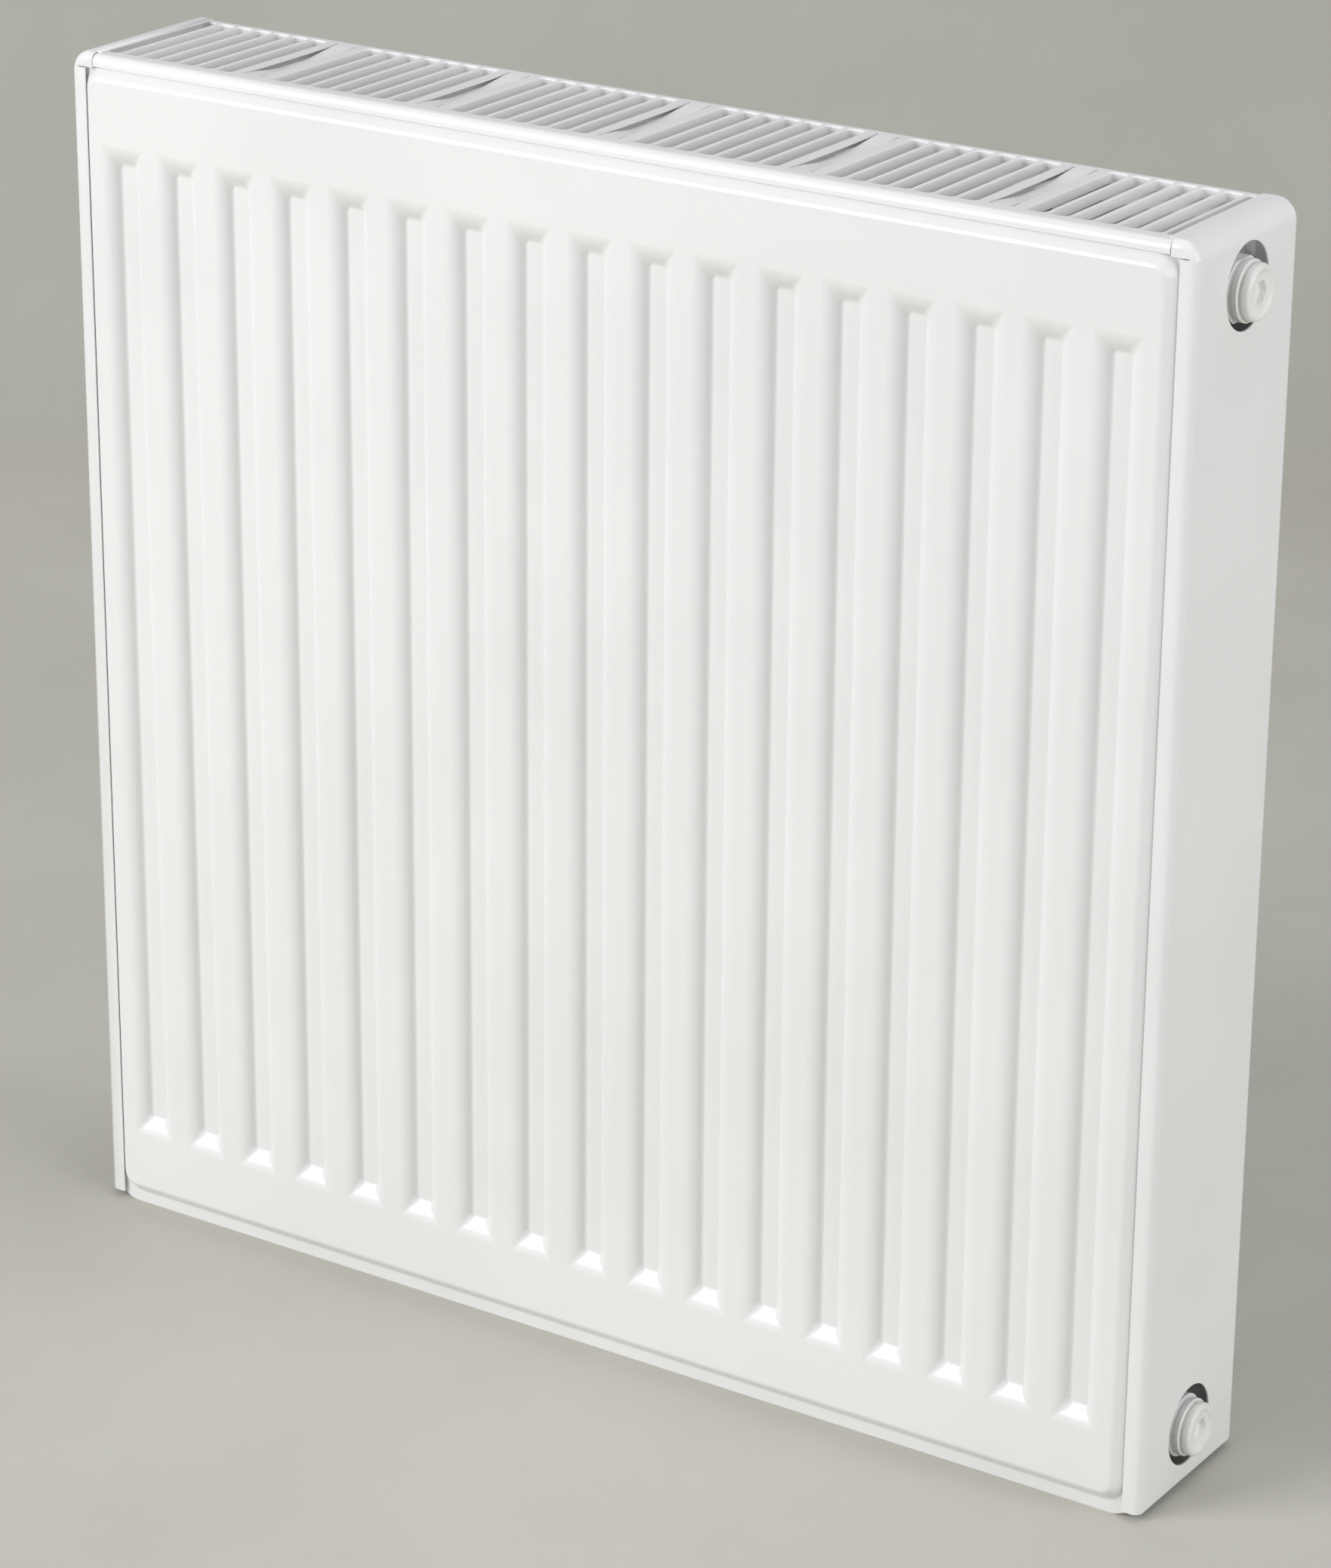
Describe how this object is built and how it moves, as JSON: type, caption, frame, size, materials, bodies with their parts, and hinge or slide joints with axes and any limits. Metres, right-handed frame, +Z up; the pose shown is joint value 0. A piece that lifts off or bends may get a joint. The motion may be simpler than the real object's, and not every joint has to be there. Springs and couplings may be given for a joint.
{
  "type": "panel radiator",
  "caption": "Compact steel double-panel, double-convector radiator with top grille, side panels, bleed vent and screwed plugs in its end tappings.",
  "frame": {"origin": "bottom centre of the bounding box, wall lugs included", "axes": "+X along the radiator to its right end, -Y the room side, +Z up"},
  "size_m": [0.614, 0.114, 0.6],
  "materials": {
    "panel_enamel": "satin white stoved powder coat on pressed steel",
    "cover_enamel": "satin white powder coat on folded steel",
    "grille_enamel": "satin white powder coat on punched steel",
    "convector_enamel": "thin matt white coat on folded steel strip",
    "boss_enamel": "white powder coat on forged and welded steel",
    "plug_plastic": "moulded white polyethylene",
    "clip_plastic": "moulded white nylon",
    "spout_plastic": "moulded white acetal",
    "seal_rubber": "black rubber",
    "spring_steel": "bright spring steel strip",
    "nickel_plate": "nickel-plated brass"
  },
  "bodies": {
    "frame": {"front_panel_outer": "panel_enamel", "front_panel_inner": "panel_enamel", "back_panel_inner": "panel_enamel", "back_panel_outer": "panel_enamel", "front_convector": "convector_enamel", "back_convector": "convector_enamel", "tee_top_right": "boss_enamel", "tee_bottom_right": "boss_enamel", "tee_top_left": "boss_enamel", "tee_bottom_left": "boss_enamel", "hanger_lugs": "boss_enamel", "top_grille": "grille_enamel", "grille_clips": "spring_steel", "vent_plug": "nickel_plate", "vent_plug_seal": "seal_rubber", "blanking_plug": "nickel_plate", "blanking_plug_seal": "seal_rubber"},
    "right_cover": {"right_side_panel": "cover_enamel", "right_panel_clips": "clip_plastic"},
    "left_cover": {"left_side_panel": "cover_enamel", "left_panel_clips": "clip_plastic"},
    "top_right_seal": {"top_right_plug_seal": "plug_plastic"},
    "top_right_plug": {"top_right_plug": "plug_plastic"},
    "bottom_right_seal": {"bottom_right_plug_seal": "plug_plastic"},
    "bottom_right_plug": {"bottom_right_plug": "plug_plastic"},
    "vent_ring": {"vent_screw_ring": "seal_rubber"},
    "vent_screw": {"vent_screw": "nickel_plate"},
    "vent_spout": {"vent_spout": "spout_plastic"}
  },
  "joints": [
    {"name": "right_cover_off", "type": "slide", "parent": "frame", "child": "right_cover", "axis": [1, 0, 0], "range_m": [0, 0.06]},
    {"name": "left_cover_off", "type": "slide", "parent": "frame", "child": "left_cover", "axis": [-1, 0, 0], "range_m": [0, 0.06]},
    {"name": "top_right_plug_out", "type": "slide", "parent": "frame", "child": "top_right_seal", "axis": [1, 0, 0], "range_m": [0, 0.01088]},
    {"name": "top_right_plug_turn", "type": "hinge", "parent": "top_right_seal", "child": "top_right_plug", "pos_m": [0.299, -0.007, 0.5695], "axis": [1, 0, 0], "range_deg": [0, 2160]},
    {"name": "bottom_right_plug_out", "type": "slide", "parent": "frame", "child": "bottom_right_seal", "axis": [1, 0, 0], "range_m": [0, 0.01088]},
    {"name": "bottom_right_plug_turn", "type": "hinge", "parent": "bottom_right_seal", "child": "bottom_right_plug", "pos_m": [0.299, -0.007, 0.0295], "axis": [1, 0, 0], "range_deg": [0, 2160]},
    {"name": "vent_screw_out", "type": "slide", "parent": "frame", "child": "vent_ring", "axis": [-1, 0, 0], "range_m": [0, 0.001]},
    {"name": "vent_screw_turn", "type": "hinge", "parent": "vent_ring", "child": "vent_screw", "pos_m": [-0.3, -0.007, 0.5695], "axis": [-1, 0, 0], "range_deg": [0, 450]},
    {"name": "vent_spout_turn", "type": "hinge", "parent": "frame", "child": "vent_spout", "pos_m": [-0.303, -0.007, 0.5695], "axis": [-1, 0, 0], "continuous": true}
  ],
  "couplings": [
    {"joint": "top_right_plug_out", "follows": "top_right_plug_turn", "m_per_rad": 0.00028871},
    {"joint": "bottom_right_plug_out", "follows": "bottom_right_plug_turn", "m_per_rad": 0.00028871},
    {"joint": "vent_screw_turn", "follows": "vent_screw_out", "rad_per_m": 7854}
  ]
}
